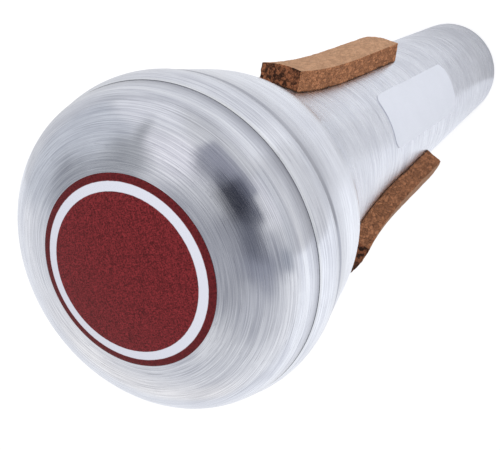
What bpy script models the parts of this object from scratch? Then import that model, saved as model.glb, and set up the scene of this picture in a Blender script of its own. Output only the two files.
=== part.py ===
"""Trumpet pixie mute of spun aluminium, standing on its open mouth with the domed cap up.

The can is turned, so its shape is drawn once as radius against height above the mouth. The body
is one spun shell, the cap is another that drops into its band, and three cork strips and two
labels are wrapped on the outside. Lengths are in metres and angles in degrees.
"""

import math

import bmesh
import bpy
import numpy as np

# Sheet metal and fits
SHEET = 0.0008
FIT_GAP = 0.0003

# How finely the curves are drawn
TURNED_SIDES = 64
CURVE_STEPS = 9
BAND_STEPS = 6
CROWN_STEPS = 4
STRIP_STEPS = 14
FINE_STEPS = 200
SLOPE_SPAN = 0.0005
MERGE_DISTANCE = 0.00001
SHARP_ANGLE = 35.0

# Body, from the mouth up: cone, flare, shoulder with its flank, then the band
CONE_LENGTH = 0.0777
FLARE_LENGTH = 0.0397
SHOULDER_LENGTH = 0.0194
BAND_LENGTH = 0.0069
MOUTH_RADIUS = 0.0127
CONE_TOP_RADIUS = 0.0160
SHOULDER_FOOT_RADIUS = 0.0229
CREASE_RADIUS = 0.0282
BAND_RADIUS = 0.0286
BAND_CROWN_DROP = 0.0037
SHOULDER_FOOT_ANGLE = 42.4
FLANK_ANGLE = 14.4
CONE_REACH = 0.0212
FOOT_REACH_DOWN = 0.0031
FOOT_REACH_UP = 0.0029
FLANK_REACH = 0.0084
CREASE_DEPTH = 0.00015
CREASE_HALF_WIDTH = 0.00045
HEM_HEIGHT = 0.0025
HEM_ROUND = 0.0002

# Seat for the cap inside the band
LIP_THICKNESS = 0.00025
LEDGE_ABOVE_CREASE = 0.0006
LEDGE_WIDTH = 0.0006

# Cap: a shallow crown, a tight knuckle, and a straight skirt inside the band
SKIRT_RADIUS = 0.02745
CAP_RISE = 0.0123
CROWN_CURVE_RADIUS = 0.072
CROWN_EDGE_RADIUS = 0.0175
CROWN_REACH = 0.0069
SKIRT_REACH = 0.0056
SKIRT_START_DROP = 0.0007

# Cork strips, set out down from the foot of the shoulder
CORK_COUNT = 3
CORK_LENGTH = 0.0511
CORK_WIDTH = 0.0082
CORK_THICKNESS = 0.0038
CORK_TOP_DROP = 0.0101
FIRST_CORK_ANGLE = 90.0

# Labels
ROUND_LABEL_RADIUS = 0.0160
ROUND_LABEL_THICKNESS = 0.0002
CONE_LABEL_LENGTH = 0.0429
CONE_LABEL_WIDTH = 0.0121
CONE_LABEL_THICKNESS = 0.0002
CONE_LABEL_CORNER = 0.0019
CONE_LABEL_MIDDLE_HEIGHT = 0.05985
CONE_LABEL_ANGLE = 271.0
CONE_LABEL_SKEW = 1.8

# Heights that follow from the lengths above
FOOT_Z = CONE_LENGTH + FLARE_LENGTH
CREASE_Z = FOOT_Z + SHOULDER_LENGTH
RIM_Z = CREASE_Z + BAND_LENGTH
APEX_Z = RIM_Z + CAP_RISE
LEDGE_Z = CREASE_Z + LEDGE_ABOVE_CREASE
BORE_RADIUS = SKIRT_RADIUS + FIT_GAP
LIP_RADIUS = BORE_RADIUS + LIP_THICKNESS


def clear_scene():
    """Remove every object that is already in the scene."""
    for old in list(bpy.data.objects):
        bpy.data.objects.remove(old, do_unlink=True)


def make_material(name, colour, roughness, metallic):
    """Return a Principled material of one colour."""
    material = bpy.data.materials.new(name)
    material.use_nodes = True
    shader = material.node_tree.nodes["Principled BSDF"]
    shader.inputs["Base Color"].default_value = (*colour, 1.0)
    shader.inputs["Roughness"].default_value = roughness
    shader.inputs["Metallic"].default_value = metallic
    return material


def bezier(start, start_handle, end_handle, end, steps):
    """Return the points of a cubic curve, both ends included."""
    corners = np.array([start, start_handle, end_handle, end])
    t = np.linspace(0.0, 1.0, steps + 1)[:, None]
    weights = np.hstack([(1 - t) ** 3, 3 * t * (1 - t) ** 2, 3 * t**2 * (1 - t), t**3])
    return [tuple(point) for point in weights @ corners]


def tilted(point, reach, angle):
    """Return the point moved up by reach on a line that opens outward by angle from the axis."""
    radius, height = point
    return (radius + reach * math.tan(math.radians(angle)), height + reach)


def cone_angle():
    """Return how far the cone opens from the axis, in degrees."""
    return math.degrees(math.atan((CONE_TOP_RADIUS - MOUTH_RADIUS) / CONE_LENGTH))


def flare_and_shoulder(steps):
    """Return the outside from the top of the cone to the crease, rising."""
    cone_top = (CONE_TOP_RADIUS, CONE_LENGTH)
    foot = (SHOULDER_FOOT_RADIUS, FOOT_Z)
    crease = (CREASE_RADIUS, CREASE_Z)
    flare = bezier(
        cone_top,
        tilted(cone_top, CONE_REACH, cone_angle()),
        tilted(foot, -FOOT_REACH_DOWN, SHOULDER_FOOT_ANGLE),
        foot,
        steps,
    )
    shoulder = bezier(
        foot,
        tilted(foot, FOOT_REACH_UP, SHOULDER_FOOT_ANGLE),
        tilted(crease, -FLANK_REACH, FLANK_ANGLE),
        crease,
        steps,
    )
    return flare + shoulder[1:]


def band_outside(steps):
    """Return the convex outside of the band from the crease up to the lip."""
    crown_z = RIM_Z - BAND_CROWN_DROP
    points = []
    for height in np.linspace(CREASE_Z, RIM_Z, steps + 1):
        edge_radius, edge_z = (CREASE_RADIUS, CREASE_Z) if height < crown_z else (LIP_RADIUS, RIM_Z)
        share = (height - crown_z) / (edge_z - crown_z)
        points.append((BAND_RADIUS - (BAND_RADIUS - edge_radius) * share**2, height))
    return points


def body_outside(curve_steps, band_steps):
    """Return the whole outside of the body, rising from the mouth to the lip."""
    return [(MOUTH_RADIUS, 0.0)] + flare_and_shoulder(curve_steps) + band_outside(band_steps)[1:]


FINE_OUTSIDE = np.array(body_outside(FINE_STEPS, FINE_STEPS))


def radius_at(height):
    """Return the body's outside radius at a height."""
    return float(np.interp(height, FINE_OUTSIDE[:, 1], FINE_OUTSIDE[:, 0]))


def slope_at(height):
    """Return how fast the body's radius grows with height."""
    rise = radius_at(height + SLOPE_SPAN) - radius_at(height - SLOPE_SPAN)
    return rise / (2 * SLOPE_SPAN)


def inset_from_outside(points):
    """Return the points moved inward by the sheet, square to the outside."""
    moved = []
    for radius, height in points:
        slope = slope_at(height)
        stretch = SHEET / math.hypot(1.0, slope)
        moved.append((radius - stretch, height + stretch * slope))
    return moved


def add_object(name, mesh, material):
    """Link a mesh as a named object with its material."""
    mesh.materials.append(material)
    thing = bpy.data.objects.new(name, mesh)
    bpy.context.collection.objects.link(thing)
    return thing


def smooth_round(mesh):
    """Shade a round piece smooth but keep its real corners."""
    mesh.shade_smooth()
    mesh.set_sharp_from_angle(angle=math.radians(SHARP_ANGLE))


def turned(name, outline, closed, material):
    """Turn an outline of (radius, height) about the axis; it runs down its outer side first."""
    mesh = bpy.data.meshes.new(name)
    edges = [(i, i + 1) for i in range(len(outline) - 1)]
    if closed:
        edges.append((len(outline) - 1, 0))
    mesh.from_pydata([(radius, 0.0, height) for radius, height in outline], edges, [])
    piece = add_object(name, mesh, material)
    screw = piece.modifiers.new("Turn", "SCREW")
    screw.axis = "Z"
    screw.angle = math.tau
    screw.steps = TURNED_SIDES
    screw.render_steps = TURNED_SIDES
    screw.use_merge_vertices = True
    screw.merge_threshold = MERGE_DISTANCE
    screw.use_smooth_shade = True
    return piece


def creased(points):
    """Return the falling outside with the fine groove of the crease cut in it."""
    above = [p for p in points if p[1] > CREASE_Z + CREASE_HALF_WIDTH]
    below = [p for p in points if p[1] < CREASE_Z - CREASE_HALF_WIDTH]
    groove = []
    for offset, depth in ((CREASE_HALF_WIDTH, 0.0), (0.0, CREASE_DEPTH), (-CREASE_HALF_WIDTH, 0.0)):
        height = CREASE_Z + offset
        groove.append((radius_at(height) - depth, height))
    return above + groove + below


def body_shell(material):
    """Spun body: hemmed mouth, cone, flare, shoulder, and the band with a seat inside for the cap."""
    outside = body_outside(CURVE_STEPS, BAND_STEPS)
    falling = creased(outside[:0:-1])
    hem_radius = MOUTH_RADIUS - 2 * SHEET
    mouth = [
        (MOUTH_RADIUS, HEM_ROUND),
        (MOUTH_RADIUS - HEM_ROUND, 0.0),
        (hem_radius + HEM_ROUND, 0.0),
        (hem_radius, HEM_ROUND),
        (hem_radius, HEM_HEIGHT),
        (radius_at(HEM_HEIGHT) - SHEET, HEM_HEIGHT + FIT_GAP),
    ]
    rising = inset_from_outside(flare_and_shoulder(CURVE_STEPS)[:-1])
    ledge_inner = BORE_RADIUS - LEDGE_WIDTH
    seat = [(ledge_inner, LEDGE_Z), (BORE_RADIUS, LEDGE_Z), (BORE_RADIUS, RIM_Z)]
    return turned("body_shell", falling + mouth + rising + seat, True, material)


def crown_height(radius):
    """Return the height of the crown's outside at a distance from the axis."""
    sag = CROWN_CURVE_RADIUS - math.sqrt(CROWN_CURVE_RADIUS**2 - radius**2)
    return APEX_Z - sag


def cap_side(offset):
    """Return the cap's crown and knuckle, falling, moved in from the outside by offset."""
    curve_centre = APEX_Z - CROWN_CURVE_RADIUS
    shrink = 1.0 - offset / CROWN_CURVE_RADIUS
    crown = []
    for radius in np.linspace(0.0, CROWN_EDGE_RADIUS, CROWN_STEPS + 1):
        crown.append((radius * shrink, curve_centre + (crown_height(radius) - curve_centre) * shrink))
    lean = math.asin(CROWN_EDGE_RADIUS / CROWN_CURVE_RADIUS)
    edge_radius, edge_height = crown[-1]
    skirt_top = (SKIRT_RADIUS - offset, RIM_Z - SKIRT_START_DROP)
    reach = CROWN_REACH - offset / 2
    knuckle = bezier(
        crown[-1],
        (edge_radius + reach * math.cos(lean), edge_height - reach * math.sin(lean)),
        (skirt_top[0], skirt_top[1] + SKIRT_REACH),
        skirt_top,
        CURVE_STEPS,
    )
    return crown + knuckle[1:]


def end_cap(material):
    """Spun cap: crown, knuckle and the skirt that stands on the ledge inside the band."""
    skirt_bottom = LEDGE_Z + FIT_GAP
    outer = cap_side(0.0) + [(SKIRT_RADIUS, skirt_bottom)]
    inner = [(SKIRT_RADIUS - SHEET, skirt_bottom)] + cap_side(SHEET)[::-1]
    return turned("end_cap", outer + inner, False, material)


def round_label(material):
    """Round label lying on the crown of the cap."""
    top = []
    underside = []
    for radius in np.linspace(0.0, ROUND_LABEL_RADIUS, CROWN_STEPS + 1):
        seat = crown_height(radius) + FIT_GAP
        top.append((radius, seat + ROUND_LABEL_THICKNESS))
        underside.append((radius, seat))
    return turned("round_label", top + underside[::-1], False, material)


def strip_stations(length, corner):
    """Return distances along a strip, close together where its corners are rounded."""
    corner_run = [corner * (1 - math.cos(math.radians(a))) for a in (0, 30, 60)] if corner else []
    middle = list(np.linspace(corner, length - corner, STRIP_STEPS + 1))
    return corner_run + middle + [length - run for run in reversed(corner_run)]


def corner_inset(distance, corner):
    """Return how far a rounded corner draws the side in at a distance from the end."""
    if distance >= corner:
        return 0.0
    return corner - math.sqrt(corner**2 - (corner - distance) ** 2)


def wrapped_strip(name, bottom, length, width, thickness, angle, material, corner=0.0, skew=0.0, across=6):
    """Wrap a strip on the outside of the body, standing off by the fit gap."""
    shape = bmesh.new()
    rows = []
    middle = bottom + length / 2
    for distance in strip_stations(length, corner):
        height = bottom + distance
        radius = radius_at(height)
        slope = slope_at(height)
        half = width / 2 - corner_inset(min(distance, length - distance), corner)
        turn = math.radians(angle) + math.tan(math.radians(skew)) * (height - middle) / radius
        scale = math.hypot(1.0, slope)
        row = []
        for lift in (FIT_GAP, FIT_GAP + thickness):
            line = []
            for arc in np.linspace(-half, half, across + 1):
                outward = radius * math.cos(arc / radius) + lift / scale
                sideways = radius * math.sin(arc / radius)
                x = outward * math.cos(turn) - sideways * math.sin(turn)
                y = outward * math.sin(turn) + sideways * math.cos(turn)
                line.append(shape.verts.new((x, y, height - lift * slope / scale)))
            row.append(line)
        rows.append(row[0] + row[1][::-1])
    for lower, upper in zip(rows, rows[1:]):
        count = len(lower)
        for i in range(count):
            shape.faces.new((lower[i], upper[i], upper[(i + 1) % count], lower[(i + 1) % count]))
    for end in (rows[0], rows[-1]):
        for i in range(across):
            shape.faces.new((end[i], end[i + 1], end[-2 - i], end[-1 - i]))
    bmesh.ops.recalc_face_normals(shape, faces=shape.faces)
    mesh = bpy.data.meshes.new(name)
    shape.to_mesh(mesh)
    shape.free()
    smooth_round(mesh)
    return add_object(name, mesh, material)


def cork_strips(material):
    """Three cork strips at equal angles on the flare and the cone."""
    bottom = FOOT_Z - CORK_TOP_DROP - CORK_LENGTH
    for number in range(CORK_COUNT):
        angle = FIRST_CORK_ANGLE + number * 360.0 / CORK_COUNT
        wrapped_strip(
            f"cork_strip_{number + 1}", bottom, CORK_LENGTH, CORK_WIDTH, CORK_THICKNESS, angle, material
        )


def cone_label(material):
    """White label on the cone, put on by hand a little askew."""
    wrapped_strip(
        "cone_label",
        CONE_LABEL_MIDDLE_HEIGHT - CONE_LABEL_LENGTH / 2,
        CONE_LABEL_LENGTH,
        CONE_LABEL_WIDTH,
        CONE_LABEL_THICKNESS,
        CONE_LABEL_ANGLE,
        material,
        corner=CONE_LABEL_CORNER,
        skew=CONE_LABEL_SKEW,
        across=8,
    )


def main():
    clear_scene()
    body_shell(make_material("spun_body", (0.66, 0.67, 0.69), 0.32, 1.0))
    end_cap(make_material("spun_cap", (0.62, 0.63, 0.65), 0.30, 1.0))
    cork_strips(make_material("cork", (0.33, 0.17, 0.10), 0.9, 0.0))
    round_label(make_material("red_label", (0.23, 0.025, 0.03), 0.6, 0.0))
    cone_label(make_material("white_label", (0.75, 0.77, 0.82), 0.5, 0.0))


main()
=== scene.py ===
"""Spun aluminium pixie mute for a trumpet: its looks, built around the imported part.

Lengths are in metres and angles in degrees, in the part's own frame: the rim of the open mouth
lies on z = 0 and the domed cap is up. A turned piece is drawn as radius against height.
"""

from __future__ import annotations

import logging
import math
from dataclasses import dataclass, field
from enum import Enum
from typing import Any, Sequence

import bpy
import numpy as np
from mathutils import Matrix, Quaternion, Vector, noise


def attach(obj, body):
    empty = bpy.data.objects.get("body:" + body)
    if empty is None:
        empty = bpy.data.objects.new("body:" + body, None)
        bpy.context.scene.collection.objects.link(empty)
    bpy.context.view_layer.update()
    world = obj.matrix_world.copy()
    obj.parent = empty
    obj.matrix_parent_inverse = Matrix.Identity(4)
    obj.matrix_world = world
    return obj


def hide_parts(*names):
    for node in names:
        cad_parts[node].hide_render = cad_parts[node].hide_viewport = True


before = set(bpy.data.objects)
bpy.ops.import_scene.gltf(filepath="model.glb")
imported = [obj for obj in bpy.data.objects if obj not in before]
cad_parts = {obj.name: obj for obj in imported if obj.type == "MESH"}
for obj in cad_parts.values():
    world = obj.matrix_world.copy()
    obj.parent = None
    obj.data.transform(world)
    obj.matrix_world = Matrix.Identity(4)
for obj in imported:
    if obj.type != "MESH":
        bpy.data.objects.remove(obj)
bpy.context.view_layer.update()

LOG = logging.getLogger("mute")
ONLY_BODY = "root"
AXIS_TOLERANCE = 1e-9

Point = tuple[float, float]
Colour = tuple[float, float, float]


class Slot(Enum):
    """The part's material slots."""

    BODY = "spun_body"
    CAP = "spun_cap"
    CORK = "cork"
    RED = "red_label"
    WHITE = "white_label"


# Shader building


class Wire:
    """One value in a shader tree; arithmetic on it adds the Math nodes that it needs."""

    def __init__(self, board: Board, socket: bpy.types.NodeSocket) -> None:
        """Hold a socket.

        Args:
            board: The tree that the socket belongs to.
            socket: The output socket that gives the value.
        """
        self.board = board
        self.socket = socket

    def maths(self, operation: str, first: Any, second: Any = 0.0) -> Wire:
        """Add a Math node.

        Args:
            operation: The node's operation.
            first: Its first value or wire.
            second: Its second value or wire.

        Returns:
            The node's result.
        """
        return self.board.add("ShaderNodeMath", {"operation": operation}, {0: first, 1: second})

    def __add__(self, other: Any) -> Wire:
        """Return this plus other."""
        return self.maths("ADD", self, other)

    def __radd__(self, other: Any) -> Wire:
        """Return other plus this."""
        return self.maths("ADD", other, self)

    def __sub__(self, other: Any) -> Wire:
        """Return this minus other."""
        return self.maths("SUBTRACT", self, other)

    def __rsub__(self, other: Any) -> Wire:
        """Return other minus this."""
        return self.maths("SUBTRACT", other, self)

    def __mul__(self, other: Any) -> Wire:
        """Return this times other."""
        return self.maths("MULTIPLY", self, other)

    def __rmul__(self, other: Any) -> Wire:
        """Return other times this."""
        return self.maths("MULTIPLY", other, self)

    def __truediv__(self, other: Any) -> Wire:
        """Return this divided by other."""
        return self.maths("DIVIDE", self, other)

    def __rtruediv__(self, other: Any) -> Wire:
        """Return other divided by this."""
        return self.maths("DIVIDE", other, self)

    def __abs__(self) -> Wire:
        """Return the size of this without its sign."""
        return self.maths("ABSOLUTE", self)

    def most(self, other: Any) -> Wire:
        """Return the larger of this and other."""
        return self.maths("MAXIMUM", self, other)

    def step(self, low: float, high: float) -> Wire:
        """Return a smooth step.

        Args:
            low: The value at which the step is 0.
            high: The value at which the step is 1; it may lie under low.

        Returns:
            0 to 1, eased at both ends.
        """
        settings = {"interpolation_type": "SMOOTHSTEP"}
        if high > low:
            return self.board.add("ShaderNodeMapRange", settings, {0: self, 1: low, 2: high})
        return 1.0 - self.board.add("ShaderNodeMapRange", settings, {0: self, 1: high, 2: low})


class Board:
    """A shader tree with one way of adding any node."""

    def __init__(self, tree: bpy.types.NodeTree) -> None:
        """Empty a tree, ready for new nodes.

        Args:
            tree: The tree to build in.
        """
        self.tree = tree
        tree.nodes.clear()

    def add(
        self,
        kind: str,
        settings: dict[str, Any] | None = None,
        inputs: dict[str | int, Any] | None = None,
        output: str | int = 0,
    ) -> Wire:
        """Add a node.

        Args:
            kind: The node's type.
            settings: Its properties, set before its sockets.
            inputs: Values or wires for its sockets, by name or place.
            output: The socket whose wire is wanted.

        Returns:
            The wire of that output.
        """
        node = self.tree.nodes.new(kind)
        for name, value in (settings or {}).items():
            setattr(node, name, value)
        for key, value in (inputs or {}).items():
            if isinstance(value, Wire):
                self.tree.links.new(value.socket, node.inputs[key])
            else:
                node.inputs[key].default_value = value
        if not len(node.outputs):
            return Wire(self, None)
        return Wire(self, node.outputs[output])

    def also(self, wire: Wire, output: str | int) -> Wire:
        """Return another output of the node that gave a wire."""
        return Wire(self, wire.socket.node.outputs[output])

    def vector(self, operation: str, first: Any, second: Any) -> Wire:
        """Add a Vector Math node and return its vector."""
        return self.add("ShaderNodeVectorMath", {"operation": operation}, {0: first, 1: second})

    def dot(self, first: Any, second: Any) -> Wire:
        """Return the scalar product of two vectors."""
        settings = {"operation": "DOT_PRODUCT"}
        return self.add("ShaderNodeVectorMath", settings, {0: first, 1: second}, "Value")

    def mix(self, share: Any, first: Any, second: Any) -> Wire:
        """Mix two colours.

        Args:
            share: How much of the second shows.
            first: A colour, or the wire of one.
            second: The other.

        Returns:
            The mixed colour.
        """
        settings = {"data_type": "RGBA", "blend_type": "MIX", "clamp_factor": True}
        values = [v if isinstance(v, Wire) else (*v, 1.0) for v in (first, second)]
        return self.add("ShaderNodeMix", settings, {0: share, 6: values[0], 7: values[1]}, 2)

    def split(self, vector: Wire) -> tuple[Wire, Wire, Wire]:
        """Return the three numbers of a vector."""
        first = self.add("ShaderNodeSeparateXYZ", None, {0: vector})
        return first, self.also(first, 1), self.also(first, 2)

    def join(self, x: Any, y: Any, z: Any) -> Wire:
        """Return the vector of three numbers."""
        return self.add("ShaderNodeCombineXYZ", None, {0: x, 1: y, 2: z})

    def reach(self, x: Wire, y: Wire) -> Wire:
        """Return how far a point at x and y lies from the axis."""
        settings = {"operation": "LENGTH"}
        return self.add("ShaderNodeVectorMath", settings, {0: self.join(x, y, 0.0)}, "Value")

    def place(self) -> Wire:
        """Return the point being shaded, in the part's frame."""
        return self.add("ShaderNodeTexCoord", None, None, "Object")

    def noise(self, vector: Wire, scale: float, detail: float = 2.0, rough: float = 0.5) -> Wire:
        """Return fractal noise, 0 to 1, at a vector."""
        values = {"Vector": vector, "Scale": scale, "Detail": detail, "Roughness": rough}
        return self.add("ShaderNodeTexNoise", None, values)

    def bump(self, height: Wire, depth: float, normal: Wire | None = None) -> Wire:
        """Bend a normal by a height.

        Args:
            height: The height, 0 to 1.
            depth: How much that height is in metres.
            normal: The normal to bend, or None for the mesh's own.

        Returns:
            The bent normal.
        """
        values = {"Distance": depth, "Height": height}
        if normal is not None:
            values["Normal"] = normal
        return self.add("ShaderNodeBump", None, values)

    def surface(self, **sockets: Any) -> None:
        """End the tree in a Principled shader.

        Args:
            **sockets: Values or wires for its sockets, named with _ for a space.
        """
        values = {name.replace("_", " "): value for name, value in sockets.items()}
        shader = self.add("ShaderNodeBsdfPrincipled", None, values)
        self.add("ShaderNodeOutputMaterial", None, {"Surface": shader})


def new_material(name: str) -> tuple[bpy.types.Material, Board]:
    """Make an empty material.

    Args:
        name: The material's name.

    Returns:
        The material, and the board to build it on.
    """
    material = bpy.data.materials.new(name)
    material.use_nodes = True
    return material, Board(material.node_tree)


# Finishes


class Climb(Enum):
    """Which way a turned piece's outline runs as its radius grows."""

    OPENING_UP = 1.0
    CLOSING_UP = -1.0


@dataclass(frozen=True)
class PaintedLightRing:
    """A ring of another tone round a turned piece: painted shade where its tone is dark, a painted
    highlight where its tone is light.
    """

    height: float
    below: float
    above: float
    share: float
    tone: Colour = (0.22, 0.225, 0.27)

    def mask(self, height: Wire) -> Wire:
        """Return how much of the ring shows at a height."""
        offset = height - self.height
        return offset.step(self.above, 0.0) * offset.step(-self.below, 0.0) * self.share


@dataclass(frozen=True)
class SpunAluminium:
    """Aluminium left bright from the lathe, with fine lines round the axis."""

    name: str
    climb: Climb
    # Rings of painted shade and painted highlight.
    rings: tuple[PaintedLightRing, ...]
    satin_from: float = 0.0
    satin_to: float = 0.001
    satin: float = 0.0
    bright: Colour = (0.92, 0.94, 1.0)
    dull: Colour = (0.54, 0.557, 0.63)
    line_colour: Colour = (0.36, 0.37, 0.42)
    roughness: float = 0.16
    anisotropy: float = 0.88
    line_pitch: float = 0.00020
    streak_pitch: float = 0.0009
    band_pitch: float = 0.0030
    arc_pitch: float = 0.00024
    scratch_pitch: float = 0.00019
    line_depth: float = 0.000009
    band_depth: float = 0.00003

    def material(self) -> bpy.types.Material:
        """Build the finish.

        Returns:
            The finish as a material.
        """
        material, board = new_material(self.name)
        place = board.place()
        x, y, z = board.split(place)
        radius = board.reach(x, y)
        along = radius + z * self.climb.value
        round_x, round_y = x / radius, y / radius

        def streaks(pitch: float, breaks: float, detail: float, rough: float) -> Wire:
            """Draw noise out round the axis.

            Args:
                pitch: How far apart the streaks lie.
                breaks: How short they are; more is shorter.
                detail: How many finer layers the noise has.
                rough: How strong those layers are.

            Returns:
                The noise, 0 to 1.
            """
            spot = board.join(round_x * breaks, round_y * breaks, along / pitch)
            return board.noise(spot, 1.0, detail, rough)

        lines = streaks(self.line_pitch, 2.0, 2.0, 0.6)
        runs = streaks(self.streak_pitch, 1.5, 2.0, 0.5)
        bands = streaks(self.band_pitch, 0.9, 2.0, 0.5)
        arcs = streaks(self.arc_pitch, 2.2, 1.0, 0.5)
        scratches = streaks(self.scratch_pitch, 9.0, 2.0, 0.5)
        cloud = board.noise(place, 110.0, 3.0, 0.55)
        sparse = cloud.step(0.40, 0.60)
        cut = scratches.step(0.60, 0.74) * (0.35 + sparse * 0.65)
        scored = arcs.step(0.64, 0.76)
        tone = lines * 0.60 + runs * 0.10 + bands * 0.10 + cloud * 0.20
        colour = board.mix(tone.step(0.30, 0.70), self.dull, self.bright)
        colour = board.mix(cut * 0.40 + scored * 0.50, colour, self.line_colour)
        # Painted shade and painted highlights: each ring's tone is mixed into the base colour.
        for ring in self.rings:
            colour = board.mix(ring.mask(z) * (0.8 + lines * 0.4), colour, ring.tone)
        roughness = self.roughness - 0.03 + bands * 0.05 + lines * 0.03 + cut * 0.10
        roughness = roughness + z.step(self.satin_from, self.satin_to) * self.satin
        height = lines * 0.6 + runs * 0.3 - cut * 0.4 - scored * 0.4
        fine = board.bump(height, self.line_depth)
        board.surface(
            Base_Color=colour,
            Metallic=1.0,
            Roughness=roughness,
            Anisotropic=self.anisotropy,
            Anisotropic_Rotation=0.25,
            Normal=board.bump(bands, self.band_depth, fine),
        )
        return material


@dataclass(frozen=True)
class Cork:
    """Granulated cork: sanded on its face, freshly cut on its sides, and near black at its ends,
    which is partly their ragged grain and partly painted shade.
    """

    sanded: Colour = (0.60, 0.345, 0.206)
    cut: Colour = (0.45, 0.194, 0.091)
    # Painted shade: the ends' near-black colour is partly their ragged grain and partly the shade
    # they stand in.
    end_faces: Colour = (0.040, 0.016, 0.009)
    crumb: Colour = (0.30, 0.112, 0.052)
    dark: Colour = (0.070, 0.027, 0.014)
    # Glue, and painted contact shadow along the strip's underside.
    glue_and_contact_shade: Colour = (0.050, 0.025, 0.015)
    grain: float = 0.00070
    drawn: float = 0.55
    speck: float = 0.00030

    def material(self) -> bpy.types.Material:
        """Build the finish.

        Returns:
            The finish as a material.
        """
        material, board = new_material("granulated_cork")
        place = board.vector("MULTIPLY", board.place(), (1.0, 1.0, self.drawn))
        flat = board.add("ShaderNodeAttribute", {"attribute_name": "flat"}, None, "Vector")
        strip_tone = board.add("ShaderNodeAttribute", {"attribute_name": "strip_tone"}, None, "Fac")
        run, across, through = board.split(flat)
        side = abs(across).step(0.982, 0.996)
        end = abs(run).step(0.9965, 0.9993)
        warp = board.add("ShaderNodeTexNoise", None, {"Vector": place, "Scale": 1500.0}, "Color")
        bent = board.vector("ADD", place, board.vector("MULTIPLY", warp, (0.0005, 0.0005, 0.0005)))
        scale = 1.0 / self.grain
        cells = board.add(
            "ShaderNodeTexVoronoi", {"feature": "F1"}, {"Vector": bent, "Scale": scale}, "Color"
        )
        tint, _, _ = board.split(cells)
        edges = board.add(
            "ShaderNodeTexVoronoi",
            {"feature": "DISTANCE_TO_EDGE"},
            {"Vector": bent, "Scale": scale},
        )
        specks = board.noise(place, 1.0 / self.speck, 3.0, 0.65)
        patch = board.noise(place, 0.5 / self.grain, 3.0, 0.6)
        base = board.mix(side, self.sanded, self.cut)
        broken = (tint * 0.25 + patch * 0.25 + specks * 0.50).step(0.40, 0.60)
        # Painted shade: the end faces take the near-black end colour, partly ragged grain and
        # partly painted shade.
        base = board.mix(end, base, board.mix(broken, self.end_faces, self.crumb))
        tone = tint * 0.40 + patch * 0.30 + specks * 0.30
        tone = 0.5 + (tone - 0.5) * (0.35 + side * 0.60)
        low = board.vector("MULTIPLY", base, (0.70, 0.67, 0.64))
        high = board.vector("MULTIPLY", base, (1.30, 1.32, 1.34))
        colour = board.mix(tone.step(0.28, 0.70), low, high)
        rough = 0.16 + side * 0.50 + end * 0.30
        pores = (1.0 - specks).step(0.53, 0.66) * rough
        creases = edges.step(0.10, 0.0) * rough * 0.8
        colour = board.mix(pores, colour, self.dark)
        colour = board.mix(creases, colour, self.dark)
        darker = board.vector("MULTIPLY", colour, (0.36, 0.32, 0.34))
        # Some strips are coloured darker than others, by their strip tone.
        colour = board.mix((1.0 - strip_tone) * 0.55, colour, darker)
        # Dark line along the underside: glue, and painted contact shadow where the strip meets the
        # metal.
        colour = board.mix((0.0 - through).step(0.80, 1.0) * 0.60, colour, self.glue_and_contact_shade)
        height = edges.step(0.0, 0.22) * 0.5 + specks * 0.7
        board.surface(
            Base_Color=colour,
            Roughness=0.88 + tint * 0.08,
            Specular_IOR_Level=0.25,
            Normal=board.bump(height, 0.00020),
        )
        return material


@dataclass(frozen=True)
class PrintedRed:
    """Dark red print on the round label, bare inside a white ring."""

    ring_inner: float
    ring_outer: float
    red: Colour = (0.265, 0.023, 0.029)
    deep: Colour = (0.070, 0.003, 0.005)
    white: Colour = (0.73, 0.745, 0.835)
    edge_blur: float = 0.00006
    thread: float = 0.00020

    def material(self) -> bpy.types.Material:
        """Build the finish.

        Returns:
            The finish as a material.
        """
        material, board = new_material("printed_red")
        place = board.place()
        x, y, z = board.split(place)
        radius = board.reach(x, y)
        ragged = radius + (board.noise(place, 1600.0, 2.0) - 0.5) * 0.00008
        outer = ragged.step(self.ring_outer + self.edge_blur, self.ring_outer - self.edge_blur)
        inner = ragged.step(self.ring_inner - self.edge_blur, self.ring_inner + self.edge_blur)
        ring = outer * inner
        warp = board.noise(board.join(x / self.thread, y / self.thread * 0.22, z), 1.0, 2.0, 0.6)
        weft = board.noise(board.join(x / self.thread * 0.22, y / self.thread, z), 1.0, 2.0, 0.6)
        cloth = warp * 0.5 + weft * 0.5
        mottle = board.noise(place, 4200.0, 2.0, 0.6)
        tone = (cloth * 0.5 + mottle * 0.5).step(0.38, 0.64)
        rim = radius.step(self.ring_outer, self.ring_outer + self.edge_blur * 3)
        red = board.mix(tone * (1.0 - rim * 0.55), self.deep, self.red)
        colour = board.mix(ring, red, self.white)
        height = cloth * 0.6 + mottle * 0.3 + ring * 0.3
        board.surface(
            Base_Color=colour,
            Roughness=0.56 - ring * 0.10 + mottle * 0.08,
            Normal=board.bump(height, 0.00003),
            Specular_IOR_Level=0.22,
        )
        return material


@dataclass(frozen=True)
class PlainWhite:
    """Bare white label stock with a faint satin face."""

    face: Colour = (0.785, 0.815, 0.905)
    shade: Colour = (0.755, 0.785, 0.875)

    def material(self) -> bpy.types.Material:
        """Build the finish.

        Returns:
            The finish as a material.
        """
        material, board = new_material("plain_white")
        place = board.place()
        fibre = board.noise(place, 2400.0, 3.0, 0.6)
        cloud = board.noise(place, 160.0, 2.0, 0.5)
        tone = (fibre * 0.5 + cloud * 0.5).step(0.35, 0.65)
        board.surface(
            Base_Color=board.mix(tone, self.shade, self.face),
            Roughness=0.42 + fibre * 0.10,
            Normal=board.bump(fibre, 0.000006),
            Specular_IOR_Level=0.4,
        )
        return material


# Curves and meshes


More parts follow.
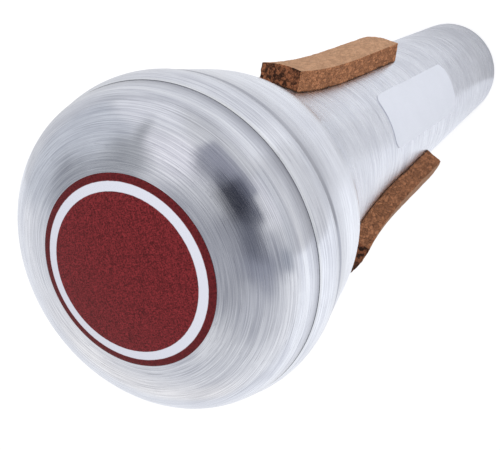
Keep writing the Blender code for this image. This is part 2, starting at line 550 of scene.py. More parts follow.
def bezier(corners: Sequence[Point], steps: int) -> list[Point]:
    """Return points along a cubic curve.

    Args:
        corners: The start, its handle, the end's handle, and the end.
        steps: How many steps it is cut into.

    Returns:
        steps + 1 points, both ends included.
    """
    t = np.linspace(0.0, 1.0, steps + 1)[:, None]
    weights = np.hstack([(1 - t) ** 3, 3 * t * (1 - t) ** 2, 3 * t**2 * (1 - t), t**3])
    return [(float(r), float(z)) for r, z in weights @ np.array(corners)]


def leaning(point: Point, reach: float, angle: float) -> Point:
    """Return the point moved up by reach on a line that opens outward by angle."""
    return (point[0] + reach * math.tan(math.radians(angle)), point[1] + reach)


def evenly(points: Sequence[Point], step: float) -> list[Point]:
    """Return points spaced evenly along a line, its own ends kept.

    Args:
        points: The corners of the line.
        step: The spacing wanted.

    Returns:
        The new points.
    """
    line = np.array(points)
    run = np.r_[0.0, np.cumsum(np.hypot(*np.diff(line, axis=0).T))]
    places = np.linspace(0.0, run[-1], max(2, int(run[-1] / step) + 1))
    radii = np.interp(places, run, line[:, 0])
    heights = np.interp(places, run, line[:, 1])
    return list(zip(radii.tolist(), heights.tolist()))


@dataclass(frozen=True)
class Ripple:
    """The faint rings that a spinning tool leaves, as a small drop under the true outline."""

    seed: int
    pitch: float = 0.0016
    depth: float = 0.000007
    fade_points: float = 6.0

    def drops(self, count: int, step: float) -> np.ndarray:
        """Return how far each point of an even outline lies under it.

        Args:
            count: How many points the outline has.
            step: Their spacing.

        Returns:
            One depth for each point, zero or more.
        """
        draw = np.random.default_rng(self.seed)
        place = np.arange(count) * step
        total = np.zeros(count)
        for share, pitch in ((0.6, self.pitch), (0.4, self.pitch * 0.45)):
            knots = int(place[-1] / pitch) + 3
            values = draw.random(knots)
            low = np.floor(place / pitch).astype(int)
            part = place / pitch - low
            ease = part * part * (3 - 2 * part)
            total += share * (values[low] * (1 - ease) + values[low + 1] * ease)
        return total * self.depth

    def cut(self, points: Sequence[Point]) -> list[Point]:
        """Cut the rings in an outline, square to it and inward.

        Args:
            points: The outline, its points evenly spaced.

        Returns:
            The new outline.
        """
        line = np.array(points)
        step = float(np.hypot(*(line[1] - line[0])))
        slope = np.gradient(line, axis=0)
        slope /= np.hypot(slope[:, 0], slope[:, 1])[:, None]
        inward = np.c_[slope[:, 1], -slope[:, 0]]
        drops = self.drops(len(line), step)
        from_start = np.arange(len(line))
        from_end = from_start[::-1]
        fade = np.minimum(1.0, np.minimum(from_start, from_end) / self.fade_points)
        line = line + inward * (drops * fade)[:, None]
        return [(float(r), float(z)) for r, z in line]


def turned_mesh(name: str, outline: Sequence[Point], closed: bool, sides: int) -> bpy.types.Mesh:
    """Turn an outline about the axis.

    Args:
        name: The mesh's name.
        outline: Points of radius and height, down the outer side first.
        closed: True if the last point joins the first; otherwise both ends lie on the axis.
        sides: How many sides the turned piece has.

    Returns:
        One closed mesh with its faces outward.
    """
    angles = np.linspace(0.0, math.tau, sides, endpoint=False)
    ring = np.c_[np.cos(angles), np.sin(angles)]
    points: list[np.ndarray] = []
    rows: list[list[int]] = []
    total = 0
    for radius, height in outline:
        count = 1 if radius < AXIS_TOLERANCE else sides
        flat = np.zeros((1, 2)) if count == 1 else ring * radius
        points.append(np.c_[flat, np.full(count, height)])
        rows.append(list(range(total, total + count)))
        total += count
    faces = []
    pairs = list(zip(rows, rows[1:] + rows[:1]))
    for upper, lower in pairs if closed else pairs[:-1]:
        for j in range(sides):
            k = (j + 1) % sides
            corners = [upper[j % len(upper)], lower[j % len(lower)], lower[k % len(lower)]]
            corners.append(upper[k % len(upper)])
            faces.append(list(dict.fromkeys(corners)))
    mesh = bpy.data.meshes.new(name)
    mesh.from_pydata(np.vstack(points).tolist(), [], faces)
    mesh.update()
    return mesh


def add_piece(
    name: str, mesh: bpy.types.Mesh, material: bpy.types.Material, node: str
) -> bpy.types.Object:
    """Put a finished piece in place of the node that it stands for.

    Args:
        name: The piece's name.
        mesh: Its mesh, in the part's frame.
        material: Its finish.
        node: The node that it stands for.

    Returns:
        The piece.
    """
    mesh.materials.append(material)
    piece = bpy.data.objects.new(name, mesh)
    bpy.context.scene.collection.objects.link(piece)
    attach(piece, ONLY_BODY)
    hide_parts(node)
    LOG.info("%s: %d faces, for %s", name, len(mesh.polygons), node)
    return piece


def shade_round(mesh: bpy.types.Mesh, corner: float) -> None:
    """Shade a mesh smooth, but keep as corners what turns by more than an angle."""
    mesh.shade_smooth()
    mesh.set_sharp_from_angle(angle=math.radians(corner))


# The can


@dataclass
class SpunBody:
    """The body: hemmed mouth, cone, flare, rounded shoulder, and the band that holds the cap."""

    sheet: float = 0.0008
    fit_gap: float = 0.0003
    cone_length: float = 0.0777
    flare_length: float = 0.0397
    shoulder_length: float = 0.0194
    band_length: float = 0.0069
    mouth_radius: float = 0.0127
    cone_top_radius: float = 0.0160
    foot_radius: float = 0.0229
    crease_radius: float = 0.0282
    band_radius: float = 0.0286
    band_crown_drop: float = 0.0037
    foot_angle: float = 42.4
    flank_angle: float = 14.4
    cone_reach: float = 0.0212
    foot_reach_down: float = 0.0031
    foot_reach_up: float = 0.0029
    flank_reach: float = 0.0084
    crease_depth: float = 0.00036
    crease_half_width: float = 0.00085
    hem_height: float = 0.0025
    hem_round: float = 0.0002
    lip_thickness: float = 0.00025
    ledge_rise: float = 0.0006
    ledge_width: float = 0.0006
    skirt_radius: float = 0.02745
    flush_radius: float = 0.02785
    hairline: float = 0.00003
    lip_depth: float = 0.0006
    lip_round: float = 0.00020
    satin: float = 0.10
    satin_reach: float = 0.006
    thin_below_foot: float = 0.004
    thin_every: int = 3
    sides: int = 224
    step: float = 0.00022
    inside_step: float = 0.0009
    slope_span: float = 0.0005
    curve_steps: int = 200
    band_steps: int = 60
    shading_corner: float = 32.0
    foot_z: float = field(init=False)
    crease_z: float = field(init=False)
    rim_z: float = field(init=False)
    ledge_z: float = field(init=False)
    bore_radius: float = field(init=False)
    lip_radius: float = field(init=False)
    fine: np.ndarray = field(init=False)

    def __post_init__(self) -> None:
        """Work out the heights, and the outside once for the pieces that lie on it."""
        self.foot_z = self.cone_length + self.flare_length
        self.crease_z = self.foot_z + self.shoulder_length
        self.rim_z = self.crease_z + self.band_length
        self.ledge_z = self.crease_z + self.ledge_rise
        self.bore_radius = self.skirt_radius + self.fit_gap
        self.lip_radius = self.bore_radius + self.lip_thickness
        self.fine = np.array(self.outside())

    def flare_and_shoulder(self) -> list[Point]:
        """Draw the outside from the top of the cone to the crease.

        Returns:
            Its points, rising.
        """
        top = (self.cone_top_radius, self.cone_length)
        foot = (self.foot_radius, self.foot_z)
        crease = (self.crease_radius, self.crease_z)
        widening = self.cone_top_radius - self.mouth_radius
        cone_angle = math.degrees(math.atan(widening / self.cone_length))
        above_top = leaning(top, self.cone_reach, cone_angle)
        below_foot = leaning(foot, -self.foot_reach_down, self.foot_angle)
        above_foot = leaning(foot, self.foot_reach_up, self.foot_angle)
        below_crease = leaning(crease, -self.flank_reach, self.flank_angle)
        flare = bezier((top, above_top, below_foot, foot), self.curve_steps)
        shoulder = bezier((foot, above_foot, below_crease, crease), self.curve_steps)
        return flare + shoulder[1:]

    def band(self) -> list[Point]:
        """Draw the convex outside of the band.

        Returns:
            Its points, from the crease up to the lip.
        """
        crown_z = self.rim_z - self.band_crown_drop
        points = []
        for height in np.linspace(self.crease_z, self.rim_z, self.band_steps + 1).tolist():
            below = height < crown_z
            edge_radius = self.crease_radius if below else self.lip_radius
            edge_z = self.crease_z if below else self.rim_z
            share = (height - crown_z) / (edge_z - crown_z)
            drop = (self.band_radius - edge_radius) * share**2
            points.append((self.band_radius - drop, height))
        return points

    def outside(self) -> list[Point]:
        """Return the whole outside, rising from the mouth to the lip."""
        return [(self.mouth_radius, 0.0)] + self.flare_and_shoulder() + self.band()[1:]

    def radius_at(self, height: float) -> float:
        """Return the outside radius at a height."""
        return float(np.interp(height, self.fine[:, 1], self.fine[:, 0]))

    def slope_at(self, height: float) -> float:
        """Return how fast the radius grows with height."""
        span = self.slope_span
        return (self.radius_at(height + span) - self.radius_at(height - span)) / (2 * span)

    def _groove(self, points: list[Point]) -> list[Point]:
        """Cut the crease as a small rounded groove.

        Args:
            points: The plain outside.

        Returns:
            The grooved outside.
        """
        made = []
        for radius, height in points:
            share = (height - self.crease_z) / self.crease_half_width
            drop = self.crease_depth * max(0.0, 1.0 - share * share) ** 2
            made.append((radius - drop, height))
        return made

    def _thinned(self, points: list[Point]) -> list[Point]:
        """Return the outside with fewer points on the long plain part under the foot."""
        plain_z = self.foot_z - self.thin_below_foot
        return [p for i, p in enumerate(points) if p[1] > plain_z or i % self.thin_every == 0]

    def _inside(self) -> list[Point]:
        """Draw the inside of the flare and the shoulder, the sheet's thickness in.

        Returns:
            Its points, rising.
        """
        made = []
        for radius, height in evenly(self.flare_and_shoulder()[:-1], self.inside_step):
            slope = self.slope_at(height)
            inset = self.sheet / math.hypot(1.0, slope)
            made.append((radius - inset, height + inset * slope))
        return made

    def _skin(self) -> list[Point]:
        """Draw the outside with its groove and its ripples.

        Returns:
            Its points, falling from the lip.
        """
        falling = evenly(self.outside()[::-1], self.step)
        falling = Ripple(seed=11).cut(self._groove(falling))
        lowest, highest = self.hem_round + self.step / 2, self.rim_z - self.lip_round
        falling = [point for point in falling if lowest < point[1] < highest]
        lip = (self.lip_radius - self.lip_round / 2, self.rim_z)
        return [lip] + self._thinned(falling)

    def _mouth(self) -> list[Point]:
        """Draw the hem of the open mouth.

        Returns:
            Its points, from the outside to the inside.
        """
        hem = self.mouth_radius - 2 * self.sheet
        turn = self.hem_round
        tuck = turn * 0.3
        return [
            (self.mouth_radius, turn),
            (self.mouth_radius - tuck, tuck),
            (self.mouth_radius - turn, 0.0),
            (hem + turn, 0.0),
            (hem + tuck, tuck),
            (hem, turn),
            (hem, self.hem_height),
            (self.radius_at(self.hem_height) - self.sheet, self.hem_height + self.fit_gap),
        ]

    def _seat(self) -> list[Point]:
        """Draw the inside of the band, where the cap stands.

        Returns:
            Its points, from the ledge up to the lip.
        """
        lip = self.flush_radius + self.hairline
        return [
            (self.bore_radius - self.ledge_width, self.ledge_z),
            (self.bore_radius, self.ledge_z),
            (self.bore_radius, self.rim_z - 2 * self.lip_depth),
            (lip, self.rim_z - self.lip_depth),
            (lip, self.rim_z),
        ]

    def build(self) -> bpy.types.Object:
        """Build the body.

        Returns:
            One closed shell.
        """
        outline = self._skin() + self._mouth() + self._inside() + self._seat()
        mesh = turned_mesh("body_spun", outline, True, self.sides)
        shade_round(mesh, self.shading_corner)
        # Painted shade: two dark rings round the crease. Painted highlight: a light ring at the
        # lip.
        rings = (
            PaintedLightRing(self.crease_z, 0.0092, 0.0036, 0.45),
            PaintedLightRing(self.crease_z, 0.0018, 0.0010, 0.16),
            PaintedLightRing(self.rim_z, 0.0007, 0.0006, 0.62, (0.95, 0.97, 1.0)),
        )
        finish = SpunAluminium(
            "spun_body_metal",
            Climb.OPENING_UP,
            rings,
            satin_from=self.foot_z + self.satin_reach,
            satin_to=self.foot_z - self.satin_reach,
            satin=self.satin,
        )
        return add_piece("body_spun", mesh, finish.material(), "body_shell")


@dataclass
class EndCap:
    """The cap: a shallow crown, a tight knuckle, and a skirt that stands in the band."""

    body: SpunBody
    rise: float = 0.0123
    crown_curve: float = 0.072
    crown_edge: float = 0.0175
    crown_reach: float = 0.0069
    skirt_reach: float = 0.0052
    flush_drop: float = 0.00012
    step: float = 0.00018
    inside_step: float = 0.0007
    crown_steps: int = 60
    edge_steps: int = 80
    shading_corner: float = 40.0
    apex_z: float = field(init=False)

    def __post_init__(self) -> None:
        """Work out the height of the crown's top."""
        self.apex_z = self.body.rim_z + self.rise

    def crown_height(self, radius: float) -> float:
        """Return the height of the crown at a distance from the axis."""
        return self.apex_z - (self.crown_curve - math.sqrt(self.crown_curve**2 - radius**2))

    def side(self, offset: float) -> list[Point]:
        """Draw the crown and the knuckle.

        Args:
            offset: How far they are moved in from the outside.

        Returns:
            Their points, falling from the axis.
        """
        centre = self.apex_z - self.crown_curve
        shrink = 1.0 - offset / self.crown_curve
        crown = []
        for radius in np.linspace(0.0, self.crown_edge, self.crown_steps + 1).tolist():
            height = centre + (self.crown_height(radius) - centre) * shrink
            crown.append((radius * shrink, height))
        lean = math.asin(self.crown_edge / self.crown_curve)
        reach = self.crown_reach - offset / 2
        edge = crown[-1]
        out = (edge[0] + reach * math.cos(lean), edge[1] - reach * math.sin(lean))
        skirt = (self.body.flush_radius - offset, self.body.rim_z - self.flush_drop)
        above = (skirt[0], skirt[1] + self.skirt_reach)
        return crown + bezier((edge, out, above, skirt), self.edge_steps)[1:]

    def build(self) -> bpy.types.Object:
        """Build the cap.

        Returns:
            One closed shell.
        """
        bottom = self.body.ledge_z + self.body.fit_gap
        outer = Ripple(seed=5).cut(evenly(self.side(0.0), self.step))
        inner = evenly(self.side(self.body.sheet), self.inside_step)[::-1]
        inner[-1] = (0.0, inner[-1][1])
        skirt = self.body.skirt_radius
        step_z = self.body.rim_z - self.body.lip_depth
        sheet = self.body.sheet
        wall = [(skirt, step_z), (skirt, bottom), (skirt - sheet, bottom), (skirt - sheet, step_z)]
        mesh = turned_mesh("cap_spun", outer + wall + inner, False, self.body.sides)
        shade_round(mesh, self.shading_corner)
        rim = self.body.rim_z
        # Painted shade: three dark rings on the cap's wall above the seam. Painted highlight: a
        # light ring on the knuckle.
        rings = (
            PaintedLightRing(rim, 0.001, 0.0036, 0.42),
            PaintedLightRing(rim, 0.001, 0.0018, 0.34),
            PaintedLightRing(rim, 0.001, 0.0008, 0.32),
            PaintedLightRing(rim + 0.0032, 0.0008, 0.0008, 0.24, (0.96, 0.975, 1.0)),
        )
        finish = SpunAluminium("spun_cap_metal", Climb.CLOSING_UP, rings)
        return add_piece("cap_spun", mesh, finish.material(), "end_cap")


# What is stuck on it


@dataclass
class CorkStrips:
    """Three strips of cork on the flare and the cone."""

    body: SpunBody
    count: int = 3
    length: float = 0.0511
    width: float = 0.0082
    thickness: float = 0.0038
    top_drop: float = 0.0101
    first_angle: float = 90.0
    cell: float = 0.00030
    edge_round: float = 0.00010
    pit: float = 0.00010
    torn_pit: float = 1.8
    chip: float = 0.00022
    grain_size: float = 0.0007
    crumb_size: float = 0.0014
    stretch: float = 0.6
    facing: float = 0.2
    seed_step: float = 0.37
    shading_corner: float = 70.0
    # One tone for each strip: the lower the tone, the darker the strip is coloured.
    strip_tones: tuple[float, ...] = (0.7, 0.12, 1.0)
    sunk: float = 0.00002

    def _lattice(self) -> tuple[np.ndarray, list[list[int]]]:
        """Cut a flat strip into a fine box.

        Returns:
            Its points, and its quads wound to face outward.
        """
        size = np.array([self.length, self.width, self.thickness])
        counts = np.maximum(2, np.round(size / self.cell)).astype(int)
        index: dict[tuple[int, int, int], int] = {}
        points: list[tuple[float, float, float]] = []
        faces: list[list[int]] = []

        def vertex(key: tuple[int, int, int]) -> int:
            """Number a lattice point.

            Args:
                key: Its three counts along the box.

            Returns:
                Its number, new or old.
            """
            if key not in index:
                index[key] = len(points)
                points.append(tuple(np.array(key) / counts - 0.5))
            return index[key]

        for axis in range(3):
            u, v = (axis + 1) % 3, (axis + 2) % 3
            for side in (0, int(counts[axis])):
                for i in range(int(counts[u])):
                    for j in range(int(counts[v])):
                        ring = []
                        for di, dj in ((0, 0), (1, 0), (1, 1), (0, 1)):
                            key = [0, 0, 0]
                            key[axis], key[u], key[v] = side, i + di, j + dj
                            ring.append(vertex(tuple(key)))
                        faces.append(ring[::-1] if side else ring)
        return np.array(points) * size, faces

    def _roughened(self, points: np.ndarray, seed: float) -> np.ndarray:
        """Return the box's points with rounded and chipped edges and a pitted skin.

        Args:
            points: The points of the plain box.
            seed: Which part of the noise the strip is cut from.

        Returns:
            The new points, none of them outside the plain box.
        """
        half = np.array([self.length, self.width, self.thickness]) / 2
        core = np.clip(points, -half + self.edge_round, half - self.edge_round)
        away = points - core
        size = np.linalg.norm(away, axis=1)[:, None]
        away = away / np.maximum(size, AXIS_TOLERANCE)
        near_edge = np.clip((np.abs(away) > self.facing).sum(axis=1) - 1, 0, 1)
        end_faces = np.where(np.abs(away[:, 0]) > self.facing, self.torn_pit, 1.0)
        made = []
        for point, base, way, edge, tear in zip(points, core, away, near_edge, end_faces):
            spot = Vector(point) + Vector((seed, seed * 0.7, 0.0))
            spot.x *= self.stretch
            grain = noise.fractal(spot / self.grain_size, 0.9, 2.0, 3)
            crumb = noise.noise(spot / self.crumb_size)
            drop = self.pit * tear * (0.45 - 0.55 * min(1.0, max(-1.0, grain * 1.3)))
            drop = max(0.0, drop) + edge * self.chip * max(0.0, crumb - 0.12) * 2.2
            made.append(base + way * (self.edge_round - drop))
        return np.array(made)

    def _wrapped(self, points: np.ndarray, angle: float) -> np.ndarray:
        """Return the box's points laid on the body, its length along the axis.

        Args:
            points: The points of the flat strip.
            angle: Where round the body its middle lies.

        Returns:
            The points in the part's frame.
        """
        bottom = self.body.foot_z - self.top_drop - self.length
        turn = math.radians(angle)
        made = []
        for run, across, through in points:
            height = bottom + self.length / 2 + run
            lift = self.sunk + (through + self.thickness / 2) * (
                1 + (self.body.fit_gap - self.sunk) / self.thickness
            )
            radius = self.body.radius_at(height)
            slope = self.body.slope_at(height)
            scale = math.hypot(1.0, slope)
            outward = radius * math.cos(across / radius) + lift / scale
            sideways = radius * math.sin(across / radius)
            made.append(
                (
                    outward * math.cos(turn) - sideways * math.sin(turn),
                    outward * math.sin(turn) + sideways * math.cos(turn),
                    height - lift * slope / scale,
                )
            )
        return np.array(made)

    def build(self) -> list[bpy.types.Object]:
        """Build the strips.

        Returns:
            One piece for each.
        """
        material = Cork().material()
        box, faces = self._lattice()
        half = np.array([self.length, self.width, self.thickness]) / 2
        made = []
        for number in range(1, self.count + 1):
            angle = self.first_angle + (number - 1) * 360.0 / self.count
            rough = self._roughened(box, self.seed_step * number)
            mesh = bpy.data.meshes.new(f"cork_{number}")
            mesh.from_pydata(self._wrapped(rough, angle).tolist(), [], faces)
            flat = mesh.attributes.new("flat", "FLOAT_VECTOR", "POINT")
            flat.data.foreach_set("vector", (box / half).astype(np.float32).ravel())
            strip_tone = mesh.attributes.new("strip_tone", "FLOAT", "POINT")
            tone = np.full(len(box), self.strip_tones[number - 1], dtype=np.float32)
            strip_tone.data.foreach_set("value", tone)
            shade_round(mesh, self.shading_corner)
            name = f"cork_{number}"
            made.append(add_piece(name, mesh, material, f"cork_strip_{number}"))
        return made


@dataclass
class RoundLabel:
    """The round label on the crown of the cap, bare but for its white ring."""

    cap: EndCap
    radius: float = 0.0160
    ring_inner: float = 0.01325
    ring_outer: float = 0.01478
    thickness: float = 0.00012
    float_height: float = 0.00001
    step: float = 0.0005
    sides: int = 180
    shading_corner: float = 40.0

    def build(self) -> bpy.types.Object:
        """Build the label.

        Returns:
            A thin closed disc that follows the crown.
        """
        top = []
        under = []
        edge = self.thickness / 2
        for radius, _ in evenly([(0.0, 0.0), (self.radius - edge, 0.0)], self.step):
            seat = self.cap.crown_height(radius) + self.float_height
            top.append((radius, seat + self.thickness))
            under.append((radius, seat))
        middle = self.cap.crown_height(self.radius) + self.float_height + edge
        outline = top + [(self.radius, middle + edge * 0.4), (self.radius, middle - edge * 0.4)]
        mesh = turned_mesh("label_round", outline + under[::-1], False, self.sides)
        shade_round(mesh, self.shading_corner)
        finish = PrintedRed(self.ring_inner, self.ring_outer)
        return add_piece("label_round", mesh, finish.material(), "round_label")


@dataclass
class ConeLabel:
    """The bare white label on the cone, put on by hand a little askew."""

    body: SpunBody
    length: float = 0.0429
    width: float = 0.0121
    thickness: float = 0.00011
    corner: float = 0.0025
    middle_height: float = 0.05985
    angle: float = 271.0
    skew: float = 1.8
    float_height: float = 0.00002
    across: int = 28
    corner_turn: float = 7.5
    middle_points: int = 50
    shading_corner: float = 40.0

    def _stations(self) -> list[float]:
        """Place the label's rows.

        Returns:
            Distances along the label, close together at its rounded ends.
        """
        turns = np.radians(np.arange(0, 90, self.corner_turn))
        ends = (self.corner * (1 - np.cos(turns))).tolist()
        straight = (self.corner, self.length - self.corner)
        middle = np.linspace(*straight, self.middle_points).tolist()
        return ends + middle + [self.length - run for run in reversed(ends)]

    def _row(self, distance: float) -> list[tuple[float, float, float]]:
        """Return the points of the label's edge line at a distance along it.

        Args:
            distance: How far from the label's lower end.

        Returns:
            The under side's points from side to side, then the face's on the way back.
        """
        near = min(distance, self.length - distance)
        inset = 0.0
        if near < self.corner:
            inset = self.corner - math.sqrt(self.corner**2 - (self.corner - near) ** 2)
        half = self.width / 2 - inset
        height = self.middle_height - self.length / 2 + distance
        radius = self.body.radius_at(height)
        lean = math.tan(math.radians(self.skew)) * (height - self.middle_height)
        turn = math.radians(self.angle) + lean / radius
        arcs = np.linspace(-half, half, self.across + 1).tolist()
        points = []
        face = self.float_height + self.thickness
        for lift, line in ((self.float_height, arcs), (face, arcs[::-1])):
            reach = radius + lift
            for arc in line:
                spin = turn + arc / radius
                points.append((reach * math.cos(spin), reach * math.sin(spin), height))
        return points

    def build(self) -> bpy.types.Object:
        """Build the label.

        Returns:
            A thin closed sheet wrapped on the cone.
        """
        points: list[tuple[float, float, float]] = []
        rows: list[list[int]] = []
        for distance in self._stations():
            line = self._row(distance)
            rows.append(list(range(len(points), len(points) + len(line))))
            points.extend(line)
        faces = []
        for lower, upper in zip(rows, rows[1:]):
            count = len(lower)
            for i in range(count):
                k = (i + 1) % count
                faces.append([lower[i], upper[i], upper[k], lower[k]])
        for row, flip in ((rows[0], False), (rows[-1], True)):
            for i in range(self.across):
                quad = [row[i], row[i + 1], row[-2 - i], row[-1 - i]]
                faces.append(quad[::-1] if flip else quad)
        mesh = bpy.data.meshes.new("label_cone")
        mesh.from_pydata(points, [], faces)
        mesh.update()
        shade_round(mesh, self.shading_corner)
        return add_piece("label_cone", mesh, PlainWhite().material(), "cone_label")


# The studio


@dataclass(frozen=True)
class Card:
    """A panel hung far away in the studio, seen only as a reflection in the metal.

    It is measured in degrees round and over its own middle; soft and fade blur its sides and
    its top and bottom.
    """

    azimuth: float
    elevation: float
    turn: float
    half_width: float
    half_height: float
    soft: float
    fade: float
    tone: Colour

    def axes(self) -> tuple[Vector, Vector, Vector]:
        """Work out how the card hangs.

        Returns:
            The way to its middle, and the ways along its width and its height.
        """
        a, e, t = (math.radians(v) for v in (self.azimuth, self.elevation, self.turn))
        to = Vector((math.cos(e) * math.cos(a), math.cos(e) * math.sin(a), math.sin(e)))
        side = Vector((-math.sin(a), math.cos(a), 0.0))
        up = to.cross(side)
        return to, side * math.cos(t) + up * math.sin(t), up * math.cos(t) - side * math.sin(t)

    def mask(self, board: Board, way: Wire) -> Wire:
        """Return where the card shows.

        Args:
            board: The tree to build in.
            way: The direction looked at.

        Returns:
            1 on the card, 0 off it.
        """
        to, wide, high = (tuple(axis) for axis in self.axes())
        ahead = board.dot(way, to)
        round_it = abs(board.dot(way, wide).maths("ARCTAN2", board.dot(way, wide), ahead))
        over_it = abs(ahead.maths("ARCSINE", board.dot(way, high)))
        sides = self._edge(round_it, self.half_width, self.soft)
        return sides * self._edge(over_it, self.half_height, self.fade)

    @staticmethod
    def _edge(angle: Wire, half: float, blur: float) -> Wire:
        """Return 1 inside an angle from the middle, blurred to 0 outside it."""
        inside = max(0.0, half - blur)
        return angle.step(math.radians(half + blur), math.radians(inside))


@dataclass
class Studio:
    """The floor, the soft light round the mute, and the camera.

    The floor glows for the metal's reflections only: more near the mouth and in the sector
    of a bright sheet, less in a dimmed sector and in the mute's own contact shade.
    """

    floor_half: float = 4.0
    floor_drop: float = 0.00005
    floor_colour: Colour = (0.74, 0.74, 0.745)
    floor_seen: float = 0.43
    floor_glossy: float = 0.12
    floor_near: float = 0.20
    near_sheet: float = 0.45
    floor_tint: Colour = (0.92, 0.955, 1.0)
    floor_sheet: float = 0.25
    floor_dimmed: float = 0.17
    dimmed_near: float = 0.35
    dimmed_azimuth: float = 270.0
    dimmed_half: float = 25.0
    dimmed_blur: float = 6.0
    shade_start: float = 0.012
    shade_end: float = 0.042
    near_start: float = 0.16
    near_end: float = 0.05
    sheet_azimuth: float = 157.5
    sheet_half: float = 83.5
    sheet_blur: float = 1.5
    sky: Colour = (0.72, 0.72, 0.725)
    far_wall: Colour = (0.725, 0.725, 0.725)
    lamp_size: float = 0.9
    lamp_power: float = 5.5
    lamp_place: tuple[float, float, float] = (0.28, -0.78, 0.95)
    lamp_aim: tuple[float, float, float] = (0.0, 0.0, 0.1)
    lens: float = 75.38
    camera_place: tuple[float, float, float] = (0.02394, -0.10699, 0.27512)
    camera_aim: tuple[float, float, float] = (-0.002645, -0.008024, 0.130)
    camera_roll: float = -124.11
    cards: tuple[Card, ...] = (
        Card(158.0, 0.0, 0.0, 83.5, 42.0, 2.0, 12.0, (0.74, 0.745, 0.755)),
        Card(158.0, 0.0, 0.0, 83.5, 22.0, 2.0, 14.0, (0.92, 0.92, 0.92)),
        Card(130.0, 8.0, 0.0, 28.0, 12.0, 10.0, 8.0, (0.99, 0.965, 0.93)),
        Card(192.0, 53.0, 0.0, 19.0, 12.0, 8.0, 9.0, (0.56, 0.565, 0.59)),
        Card(194.0, 78.0, 0.0, 26.0, 12.0, 10.0, 5.0, (0.34, 0.345, 0.37)),
        Card(120.0, 76.0, 0.0, 16.0, 10.0, 6.0, 5.0, (0.44, 0.445, 0.47)),
        Card(268.0, 3.0, 0.0, 24.0, 14.0, 4.0, 6.0, (0.64, 0.65, 0.67)),
        Card(4.0, 20.0, 0.0, 19.0, 24.0, 5.0, 8.0, (0.86, 0.86, 0.875)),
        Card(51.0, 10.0, 0.0, 27.0, 38.0, 4.0, 6.0, (0.65, 0.67, 0.70)),
        Card(70.0, 40.0, 0.0, 9.0, 12.0, 3.0, 5.0, (0.40, 0.41, 0.43)),
        Card(2.0, 62.0, 0.0, 15.0, 13.0, 4.0, 5.0, (0.93, 0.91, 0.93)),
        Card(49.0, 54.0, 0.0, 11.0, 8.0, 3.0, 4.0, (0.33, 0.34, 0.355)),
        Card(21.0, 48.0, 42.0, 18.0, 2.5, 3.0, 2.5, (0.42, 0.43, 0.44)),
        Card(274.0, 21.0, 0.0, 14.0, 7.0, 4.0, 4.0, (0.84, 0.83, 0.85)),
        Card(309.0, -1.0, 0.0, 12.0, 5.0, 4.0, 3.0, (0.88, 0.88, 0.90)),
        Card(239.0, 40.0, 0.0, 12.0, 12.5, 4.0, 5.0, (0.52, 0.525, 0.55)),
        Card(238.0, 20.0, 0.0, 6.0, 12.0, 3.0, 5.0, (0.41, 0.43, 0.47)),
        Card(222.0, 58.0, 0.0, 11.0, 17.0, 5.0, 4.0, (0.30, 0.31, 0.36)),
        Card(244.0, 65.0, 0.0, 10.0, 11.0, 3.0, 3.0, (0.12, 0.127, 0.16)),
        Card(326.0, 61.0, 0.0, 7.0, 11.0, 2.0, 3.0, (0.28, 0.285, 0.32)),
        Card(304.0, 45.0, -8.0, 18.0, 16.0, 1.5, 2.0, (0.33, 0.335, 0.385)),
        Card(268.0, 36.0, 0.0, 9.0, 3.5, 3.0, 1.5, (1.0, 0.99, 0.98)),
        Card(279.5, 48.0, 0.0, 12.5, 8.0, 3.0, 2.5, (0.105, 0.112, 0.15)),
        Card(304.0, 64.0, 0.0, 6.0, 9.5, 3.5, 4.0, (0.12, 0.126, 0.16)),
        Card(270.0, 62.5, 0.0, 5.0, 8.0, 3.0, 4.0, (0.06, 0.065, 0.088)),
        Card(287.0, 66.0, 0.0, 7.5, 13.2, 2.5, 3.5, (0.014, 0.016, 0.03)),
    )

    @staticmethod
    def _sector(x: Wire, y: Wire, azimuth: float, half: float, blur: float) -> Wire:
        """Return where a point of the floor lies in a sector round the mute.

        Args:
            x: The point's place along x.
            y: The point's place along y.
            azimuth: The bearing of the sector's middle.
            half: How far the sector reaches on each side of its middle.
            blur: How far its edges are blurred each way.

        Returns:
            1 in the sector, 0 outside it.
        """
        turn = math.radians(azimuth)
        ahead = x * math.cos(turn) + y * math.sin(turn)
        aside = y * math.cos(turn) - x * math.sin(turn)
        bearing = abs(ahead.maths("ARCTAN2", aside, ahead))
        return bearing.step(math.radians(half + blur), math.radians(half - blur))

    def _floor_glow(self, board: Board, x: Wire, y: Wire) -> Wire:
        """Return how much the floor glows for the metal at a point.

        Args:
            board: The floor's tree.
            x: The point's place along x.
            y: The point's place along y.

        Returns:
            The strength of the glow, zero or more.
        """
        sheet = self._sector(x, y, self.sheet_azimuth, self.sheet_half, self.sheet_blur)
        dimmed = self._sector(x, y, self.dimmed_azimuth, self.dimmed_half, self.dimmed_blur)
        dimmed = dimmed * (1.0 - sheet)
        reach = board.reach(x, y)
        lit = reach.step(self.shade_start, self.shade_end)
        near = reach.step(self.near_start, self.near_end)
        dimmed = dimmed * (1.0 - near * (1.0 - self.dimmed_near)) * self.floor_dimmed
        near = near * (1.0 - sheet * (1.0 - self.near_sheet)) * self.floor_near
        level = lit * (near + self.floor_glossy) + sheet * self.floor_sheet
        return (level - dimmed).most(0.0)

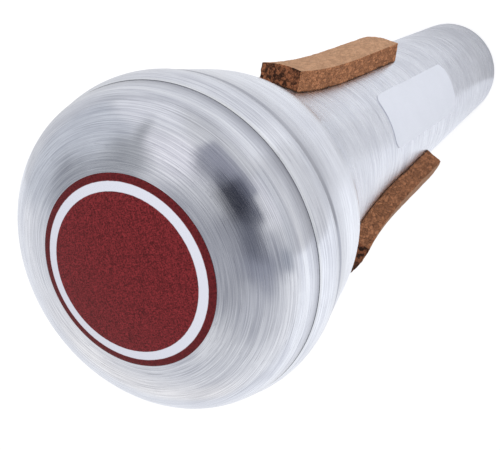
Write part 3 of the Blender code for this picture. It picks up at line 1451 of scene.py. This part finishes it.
    def _floor(self) -> None:
        """Lay the pale floor under the mouth."""
        half = self.floor_half
        mesh = bpy.data.meshes.new("floor")
        corners = [(-half, -half, 0.0), (half, -half, 0.0), (half, half, 0.0), (-half, half, 0.0)]
        mesh.from_pydata(corners, [], [(0, 1, 2, 3)])
        floor = bpy.data.objects.new("floor", mesh)
        floor.location.z = -self.floor_drop
        bpy.context.scene.collection.objects.link(floor)
        material, board = new_material("pale_floor")
        place = board.place()
        x, y, _ = board.split(place)
        grain = board.noise(place, 30.0, 3.0)
        colour = board.mix(grain, self.floor_colour, tuple(c * 0.985 for c in self.floor_colour))
        paint = board.add("ShaderNodeBsdfDiffuse", None, {"Color": colour})
        ray = board.add("ShaderNodeLightPath", None, None, "Is Camera Ray")
        glossy = board.also(ray, "Is Glossy Ray")
        through = board.also(ray, "Is Transmission Ray")
        glow = glossy * self._floor_glow(board, x, y)
        seen = ray.most(through) * self.floor_seen
        tint = board.mix(glossy, (1.0, 1.0, 1.0), self.floor_tint)
        light = board.add("ShaderNodeEmission", None, {"Color": tint, "Strength": seen + glow})
        both = board.add("ShaderNodeAddShader", None, {0: paint, 1: light})
        board.add("ShaderNodeOutputMaterial", None, {"Surface": both})
        mesh.materials.append(material)

    def _world(self) -> None:
        """Light the mute evenly from all round, with cards that only its metal reflects."""
        world = bpy.data.worlds.new("studio")
        bpy.context.scene.world = world
        world.use_nodes = True
        board = Board(world.node_tree)
        way = board.add("ShaderNodeTexCoord", None, None, "Generated")
        hung: Any = self.far_wall
        for card in self.cards:
            hung = board.mix(card.mask(board, way), hung, card.tone)
        ray = board.add("ShaderNodeLightPath", None, None, "Is Camera Ray")
        glossy = board.also(ray, "Is Glossy Ray")
        colour = board.mix(glossy, self.sky, hung)
        colour = board.mix(ray, colour, (1.0, 1.0, 1.0))
        light = board.add("ShaderNodeBackground", None, {"Color": colour, "Strength": 1.0})
        board.add("ShaderNodeOutputWorld", None, {"Surface": light})

    def _lamp(self) -> None:
        """Hang one large soft lamp, kept out of the metal's reflections."""
        lamp = bpy.data.lights.new("soft_lamp", "AREA")
        lamp.shape = "DISK"
        lamp.size = self.lamp_size
        lamp.energy = self.lamp_power
        holder = bpy.data.objects.new("soft_lamp", lamp)
        holder.location = self.lamp_place
        way = Vector(self.lamp_aim) - holder.location
        holder.rotation_euler = way.to_track_quat("-Z", "Y").to_euler()
        holder.visible_glossy = False
        bpy.context.scene.collection.objects.link(holder)

    def _camera(self) -> None:
        """Set the camera where the photograph was taken from."""
        camera = bpy.data.cameras.new("camera")
        camera.lens = self.lens
        camera.clip_start = 0.01
        holder = bpy.data.objects.new("camera", camera)
        way = Vector(self.camera_aim) - Vector(self.camera_place)
        roll = Quaternion((0.0, 0.0, 1.0), math.radians(self.camera_roll))
        holder.rotation_mode = "QUATERNION"
        holder.rotation_quaternion = way.to_track_quat("-Z", "Y") @ roll
        holder.location = self.camera_place
        bpy.context.scene.collection.objects.link(holder)
        bpy.context.scene.camera = holder

    def build(self) -> None:
        """Set up the floor, the light and the camera."""
        self._floor()
        self._world()
        self._lamp()
        self._camera()
        bpy.context.scene.view_settings.view_transform = "Standard"
        LOG.info("studio: floor, %d cards, lamp and camera", len(self.cards))


def main() -> None:
    """Build the mute piece by piece, then its studio."""
    logging.basicConfig(level=logging.INFO, format="%(name)s: %(message)s")
    body = SpunBody()
    body.build()
    cap = EndCap(body)
    cap.build()
    CorkStrips(body).build()
    RoundLabel(cap).build()
    ConeLabel(body).build()
    Studio().build()


if __name__ == "__main__":
    main()
